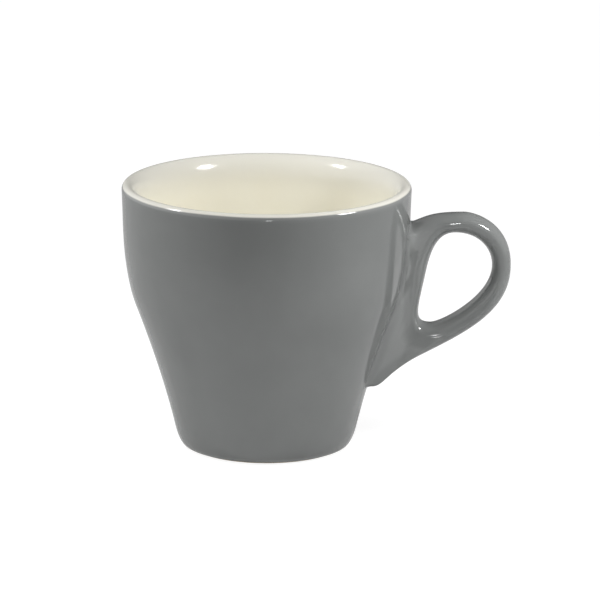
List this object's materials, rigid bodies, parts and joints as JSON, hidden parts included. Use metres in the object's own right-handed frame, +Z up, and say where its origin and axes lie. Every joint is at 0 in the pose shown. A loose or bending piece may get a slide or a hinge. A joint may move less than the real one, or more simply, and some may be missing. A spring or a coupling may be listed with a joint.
{
  "type": "cappuccino cup",
  "caption": "Tulip-shaped stoneware cappuccino cup with a looped handle, grey glaze outside and cream glaze inside, standing on a bare foot ring.",
  "frame": {"origin": "middle of the foot ring, on the plane that the cup stands on", "axes": "+Z up along the cup's axis, +X from the axis towards the handle"},
  "size_m": [0.1103, 0.082, 0.076],
  "materials": {
    "fired_clay": "bare fired stoneware, fine grained and matt",
    "cream_glaze": "glossy cream glaze",
    "grey_glaze": "glossy warm grey glaze"
  },
  "bodies": {
    "root": {"cup_body": "fired_clay", "inner_glaze": "cream_glaze", "outer_glaze": "grey_glaze", "base_glaze": "grey_glaze", "handle": "fired_clay", "handle_slip": "fired_clay", "handle_glaze": "grey_glaze"}
  },
  "joints": []
}
